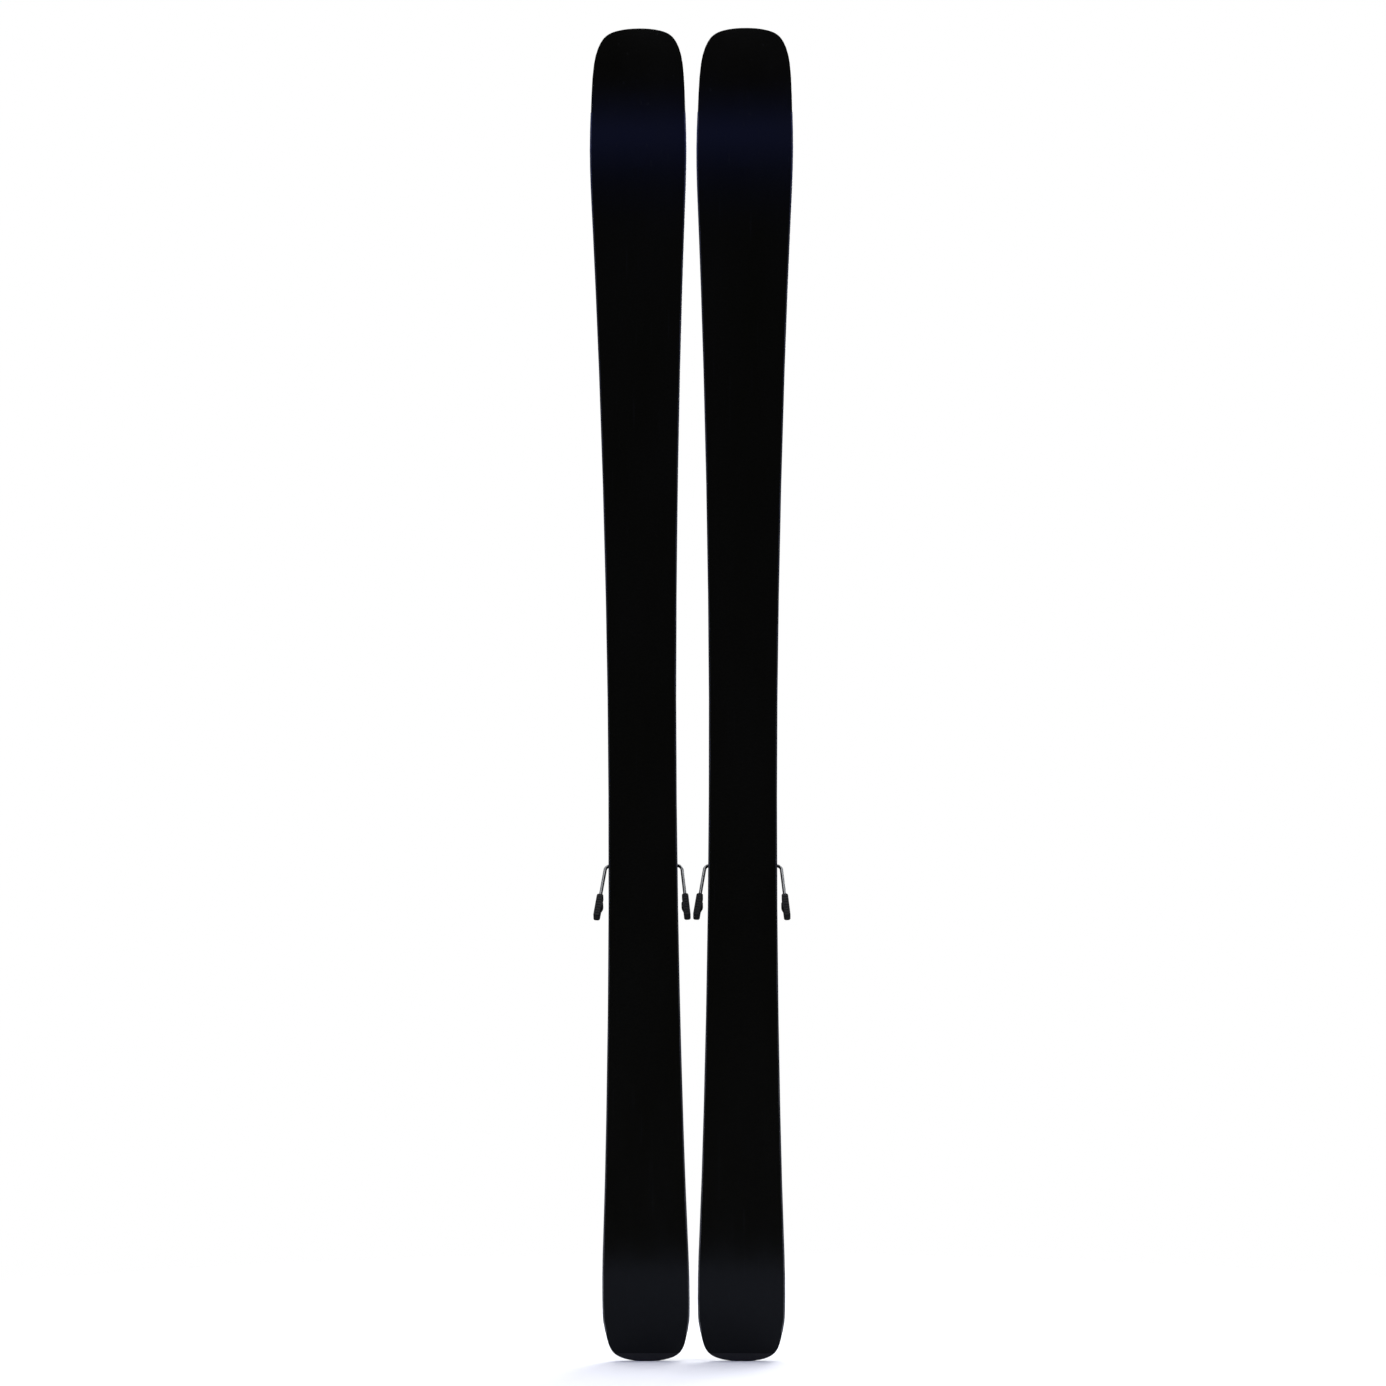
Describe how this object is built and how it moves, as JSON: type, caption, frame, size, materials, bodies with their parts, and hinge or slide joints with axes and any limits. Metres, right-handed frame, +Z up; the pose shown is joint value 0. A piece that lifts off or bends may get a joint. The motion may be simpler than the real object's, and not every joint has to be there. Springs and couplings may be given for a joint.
{
  "type": "alpine skis with bindings",
  "caption": "Pair of alpine skis standing on their tails, with step-in bindings and lowered ski brakes; jaws, heels and brakes move.",
  "frame": {"origin": "on the floor, midway between the two skis, centred front to back on the pair's box", "axes": "+Z up along the skis from tails to tips, +X across the pair towards the right ski, +Y from the running surfaces towards the bindings"},
  "size_m": [0.2712, 0.1485, 1.7837],
  "materials": {
    "base_black": "waxed sintered black running surface",
    "edge_steel": "ground steel",
    "core_wood": "laminated poplar and beech",
    "sidewall_black": "satin ABS",
    "topsheet_black": "satin topsheet",
    "guard_grey": "moulded",
    "fastener_steel": "zinc-plated steel",
    "binding_black": "glass-filled nylon",
    "housing_black": "satin moulded shell",
    "binding_grey": "glass-filled nylon",
    "spring_steel": "oiled spring steel",
    "track_steel": "pressed steel",
    "afd_steel": "polished stainless sheet",
    "wire_steel": "plated steel rod",
    "brake_plastic": "moulded nylon"
  },
  "bodies": {
    "left_ski": {"left_base": "base_black", "left_steel_edges": "edge_steel", "left_wood_core": "core_wood", "left_sidewalls": "sidewall_black", "left_topsheet": "topsheet_black", "left_tail_guard": "guard_grey", "left_mounting_screws": "fastener_steel", "left_toe_base": "binding_black", "left_toe_housing": "housing_black", "left_toe_wing_pins": "fastener_steel", "left_toe_piston": "binding_grey", "left_toe_spring": "spring_steel", "left_heel_track": "track_steel"},
    "left_toe_wing_inner": {"left_toe_wing_inner": "binding_grey"},
    "left_toe_wing_outer": {"left_toe_wing_outer": "binding_grey"},
    "left_afd_plate": {"left_afd_plate": "afd_steel"},
    "left_toe_din_screw": {"left_toe_din_screw": "fastener_steel"},
    "left_heel_carriage": {"left_heel_carriage": "binding_black", "left_heel_axle": "fastener_steel", "left_brake_base": "binding_black", "left_brake_springs": "spring_steel"},
    "left_length_screw": {"left_length_screw": "fastener_steel"},
    "left_heel_housing": {"left_heel_housing": "housing_black", "left_heel_cup": "binding_grey", "left_heel_spring": "spring_steel"},
    "left_heel_din_screw": {"left_heel_din_screw": "fastener_steel"},
    "left_heel_lever": {"left_heel_lever": "binding_grey"},
    "left_brake": {"left_brake_wire": "wire_steel", "left_brake_feet": "brake_plastic"},
    "left_brake_pedal": {"left_brake_pedal": "brake_plastic"},
    "right_ski": {"right_base": "base_black", "right_steel_edges": "edge_steel", "right_wood_core": "core_wood", "right_sidewalls": "sidewall_black", "right_topsheet": "topsheet_black", "right_tail_guard": "guard_grey", "right_mounting_screws": "fastener_steel", "right_toe_base": "binding_black", "right_toe_housing": "housing_black", "right_toe_wing_pins": "fastener_steel", "right_toe_piston": "binding_grey", "right_toe_spring": "spring_steel", "right_heel_track": "track_steel"},
    "right_toe_wing_inner": {"right_toe_wing_inner": "binding_grey"},
    "right_toe_wing_outer": {"right_toe_wing_outer": "binding_grey"},
    "right_afd_plate": {"right_afd_plate": "afd_steel"},
    "right_toe_din_screw": {"right_toe_din_screw": "fastener_steel"},
    "right_heel_carriage": {"right_heel_carriage": "binding_black", "right_heel_axle": "fastener_steel", "right_brake_base": "binding_black", "right_brake_springs": "spring_steel"},
    "right_length_screw": {"right_length_screw": "fastener_steel"},
    "right_heel_housing": {"right_heel_housing": "housing_black", "right_heel_cup": "binding_grey", "right_heel_spring": "spring_steel"},
    "right_heel_din_screw": {"right_heel_din_screw": "fastener_steel"},
    "right_heel_lever": {"right_heel_lever": "binding_grey"},
    "right_brake": {"right_brake_wire": "wire_steel", "right_brake_feet": "brake_plastic"},
    "right_brake_pedal": {"right_brake_pedal": "brake_plastic"}
  },
  "joints": [
    {"name": "left_wing_outer_open", "type": "hinge", "parent": "left_ski", "child": "left_toe_wing_outer", "pos_m": [-0.0881, 0.0355, 1.00289], "axis": [0, 1, 0], "range_deg": [0, 30], "stiffness_Nm_per_rad": 12, "springref_deg": -8.59},
    {"name": "left_wing_inner_open", "type": "hinge", "parent": "left_ski", "child": "left_toe_wing_inner", "pos_m": [-0.0481, 0.0355, 1.00309], "axis": [0, -1, 0], "range_deg": [0, 30], "stiffness_Nm_per_rad": 12, "springref_deg": -8.59},
    {"name": "left_afd_slide", "type": "slide", "parent": "left_ski", "child": "left_afd_plate", "axis": [1, 0, 0.0049], "range_m": [-0.003, 0.003], "stiffness_N_per_m": 3000},
    {"name": "left_toe_din_turn", "type": "hinge", "parent": "left_ski", "child": "left_toe_din_screw", "pos_m": [-0.06838, 0.0325, 1.05999], "axis": [-0.0049, 0, 1], "range_deg": [-900, 900]},
    {"name": "left_heel_slide", "type": "slide", "parent": "left_ski", "child": "left_heel_carriage", "axis": [-0.0049, 0, 1], "range_m": [-0.012, 0.012]},
    {"name": "left_length_turn", "type": "hinge", "parent": "left_heel_carriage", "child": "left_length_screw", "pos_m": [-0.06603, 0.0131, 0.57999], "axis": [-0.0049, 0, 1], "range_deg": [-1441, 1441]},
    {"name": "left_heel_open", "type": "hinge", "parent": "left_heel_carriage", "child": "left_heel_housing", "pos_m": [-0.06611, 0.0315, 0.59599], "axis": [-1, 0, -0.0049], "range_deg": [0, 32]},
    {"name": "left_lever_press", "type": "hinge", "parent": "left_heel_housing", "child": "left_heel_lever", "pos_m": [-0.066, 0.0595, 0.57399], "axis": [-1, 0, -0.0049], "range_deg": [0, 26]},
    {"name": "left_heel_din_turn", "type": "hinge", "parent": "left_heel_housing", "child": "left_heel_din_screw", "pos_m": [-0.06595, 0.0455, 0.56199], "axis": [-0.0049, 0, 1], "range_deg": [-900, 900]},
    {"name": "left_brake_swing", "type": "hinge", "parent": "left_heel_carriage", "child": "left_brake", "pos_m": [-0.06643, 0.0135, 0.66149], "axis": [1, 0, 0.0049], "range_deg": [0, 48], "stiffness_Nm_per_rad": 2, "springref_deg": -34.38},
    {"name": "left_pedal_tilt", "type": "hinge", "parent": "left_brake", "child": "left_brake_pedal", "pos_m": [-0.06656, 0.04414, 0.6872], "axis": [1, 0, 0.0049], "range_deg": [-91, 0]},
    {"name": "right_wing_outer_open", "type": "hinge", "parent": "right_ski", "child": "right_toe_wing_outer", "pos_m": [0.0881, 0.0355, 1.00289], "axis": [0, -1, 0], "range_deg": [0, 30], "stiffness_Nm_per_rad": 12, "springref_deg": -8.59},
    {"name": "right_wing_inner_open", "type": "hinge", "parent": "right_ski", "child": "right_toe_wing_inner", "pos_m": [0.0481, 0.0355, 1.00309], "axis": [0, 1, 0], "range_deg": [0, 30], "stiffness_Nm_per_rad": 12, "springref_deg": -8.59},
    {"name": "right_afd_slide", "type": "slide", "parent": "right_ski", "child": "right_afd_plate", "axis": [1, 0, -0.0049], "range_m": [-0.003, 0.003], "stiffness_N_per_m": 3000},
    {"name": "right_toe_din_turn", "type": "hinge", "parent": "right_ski", "child": "right_toe_din_screw", "pos_m": [0.06838, 0.0325, 1.05999], "axis": [0.0049, 0, 1], "range_deg": [-900, 900]},
    {"name": "right_heel_slide", "type": "slide", "parent": "right_ski", "child": "right_heel_carriage", "axis": [0.0049, 0, 1], "range_m": [-0.012, 0.012]},
    {"name": "right_length_turn", "type": "hinge", "parent": "right_heel_carriage", "child": "right_length_screw", "pos_m": [0.06603, 0.0131, 0.57999], "axis": [0.0049, 0, 1], "range_deg": [-1441, 1441]},
    {"name": "right_heel_open", "type": "hinge", "parent": "right_heel_carriage", "child": "right_heel_housing", "pos_m": [0.06611, 0.0315, 0.59599], "axis": [-1, 0, 0.0049], "range_deg": [0, 32]},
    {"name": "right_lever_press", "type": "hinge", "parent": "right_heel_housing", "child": "right_heel_lever", "pos_m": [0.066, 0.0595, 0.57399], "axis": [-1, 0, 0.0049], "range_deg": [0, 26]},
    {"name": "right_heel_din_turn", "type": "hinge", "parent": "right_heel_housing", "child": "right_heel_din_screw", "pos_m": [0.06595, 0.0455, 0.56199], "axis": [0.0049, 0, 1], "range_deg": [-900, 900]},
    {"name": "right_brake_swing", "type": "hinge", "parent": "right_heel_carriage", "child": "right_brake", "pos_m": [0.06643, 0.0135, 0.66149], "axis": [1, 0, -0.0049], "range_deg": [0, 48], "stiffness_Nm_per_rad": 2, "springref_deg": -34.38},
    {"name": "right_pedal_tilt", "type": "hinge", "parent": "right_brake", "child": "right_brake_pedal", "pos_m": [0.06656, 0.04414, 0.6872], "axis": [1, 0, -0.0049], "range_deg": [-91, 0]},
    {"name": "skis_apart", "type": "slide", "parent": "left_ski", "child": "right_ski", "axis": [1, 0, 0], "range_m": [0, 0.3]}
  ],
  "couplings": [
    {"joint": "left_length_turn", "follows": "left_heel_slide", "rad_per_m": 2094.4},
    {"joint": "left_lever_press", "follows": "left_heel_open", "ratio": 0.8},
    {"joint": "left_pedal_tilt", "follows": "left_brake_swing", "ratio": -1.886},
    {"joint": "right_length_turn", "follows": "right_heel_slide", "rad_per_m": 2094.4},
    {"joint": "right_lever_press", "follows": "right_heel_open", "ratio": 0.8},
    {"joint": "right_pedal_tilt", "follows": "right_brake_swing", "ratio": -1.886}
  ]
}
